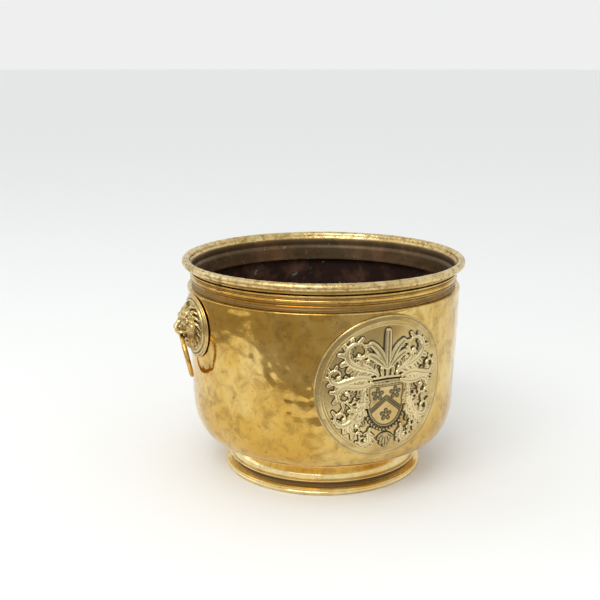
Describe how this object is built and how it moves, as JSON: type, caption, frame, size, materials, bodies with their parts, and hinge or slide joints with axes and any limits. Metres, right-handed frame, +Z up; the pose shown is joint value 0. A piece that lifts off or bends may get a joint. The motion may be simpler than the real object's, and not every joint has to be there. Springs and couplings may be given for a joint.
{
  "type": "planter pot",
  "caption": "Round footed metal planter pot with a moulded collar, a wired rim, an applied round medallion and lion masks that hold loose rings.",
  "frame": {"origin": "centre of the base, in the plane it stands on", "axes": "+Z up out of the mouth, -Y out of the medallion, X through the two lion masks"},
  "size_m": [0.3194, 0.2858, 0.2185],
  "materials": {
    "body_brass": "old polished spun brass with fine dents and an uneven brown patina",
    "medallion_brass": "stamped relief, bright on the high points and dark in the recesses",
    "cast_brass": "cast brass, worn bright with grey-green tarnish in the hollows",
    "ring_brass": "drawn brass rod, handled smooth",
    "iron_wire": "black annealed iron wire",
    "plated_steel": "dull zinc plate"
  },
  "bodies": {
    "pot": {"bowl": "body_brass", "neck_collar": "body_brass", "foot_ring": "body_brass", "rim_wire": "iron_wire", "medallion": "medallion_brass", "lion_mask_left": "cast_brass", "mask_stud_left_upper": "cast_brass", "stud_washer_left_upper": "plated_steel", "stud_nut_left_upper": "plated_steel", "mask_stud_left_lower": "cast_brass", "stud_washer_left_lower": "plated_steel", "stud_nut_left_lower": "plated_steel", "lion_mask_right": "cast_brass", "mask_stud_right_upper": "cast_brass", "stud_washer_right_upper": "plated_steel", "stud_nut_right_upper": "plated_steel", "mask_stud_right_lower": "cast_brass", "stud_washer_right_lower": "plated_steel", "stud_nut_right_lower": "plated_steel"},
    "left_ring": {"ring_left": "ring_brass"},
    "right_ring": {"ring_right": "ring_brass"}
  },
  "joints": [
    {"name": "ring_left_swing", "type": "hinge", "parent": "pot", "child": "left_ring", "pos_m": [-0.1515, 0, 0.1495], "axis": [0.2419, 0.9703, 0], "range_deg": [-4, 120]},
    {"name": "ring_right_swing", "type": "hinge", "parent": "pot", "child": "right_ring", "pos_m": [0.1515, 0, 0.1495], "axis": [0, -1, 0], "range_deg": [-4, 120]}
  ]
}
